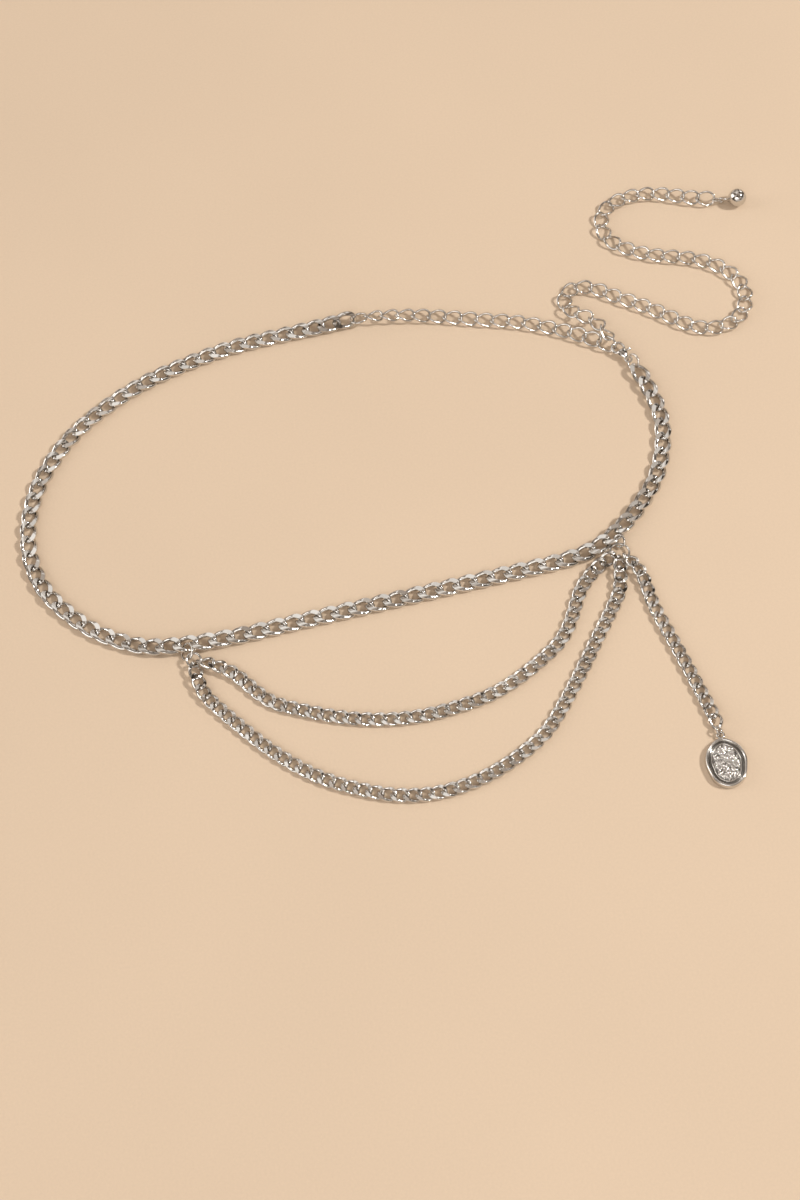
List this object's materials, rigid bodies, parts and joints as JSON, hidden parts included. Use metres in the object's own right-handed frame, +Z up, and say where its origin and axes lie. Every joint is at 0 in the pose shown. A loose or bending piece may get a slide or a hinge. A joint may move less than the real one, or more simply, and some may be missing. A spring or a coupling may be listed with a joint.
{
  "type": "waist chain",
  "caption": "Curb link waist chain with two curved front chains, a drop chain with an oval pendant, a lobster clasp and an extension tail that ends in a ball.",
  "frame": {"origin": "on the table, under the middle of the chain as it was laid out", "axes": "+X to the right along the chain's width, +Y to the back where the belt chain meets the extension, +Z up from the table"},
  "size_m": [0.3684, 0.3329, 0.0091],
  "materials": {
    "belt": "polished, with flat cut faces",
    "front_chains": "polished, with flat cut faces",
    "extension": "polished",
    "rings": "polished",
    "clasp": "polished",
    "pendant": "cast, softly polished, darker in the hollows",
    "ball": "mirror polish"
  },
  "bodies": {
    "chain": {"belt_left": "belt", "belt_right": "belt", "extension_chain": "extension", "upper_swag": "front_chains", "lower_swag": "front_chains", "drop_chain": "front_chains", "end_ring": "rings", "left_ring": "rings", "left_joining_ring": "rings", "right_ring": "rings", "right_joining_ring": "rings", "clasp_ring": "rings", "clasp_body": "clasp", "clasp_pin": "clasp", "pendant_ring": "rings", "pendant": "pendant", "ball_ring": "rings", "ball_drop": "ball"},
    "lever": {"clasp_lever": "clasp"}
  },
  "joints": [
    {"name": "lever_hinge", "type": "hinge", "parent": "chain", "child": "lever", "pos_m": [0.11174, 0.06824, 0.0028], "axis": [0, 0, 1], "range_deg": [0, 20], "stiffness_Nm_per_rad": 0.004}
  ]
}
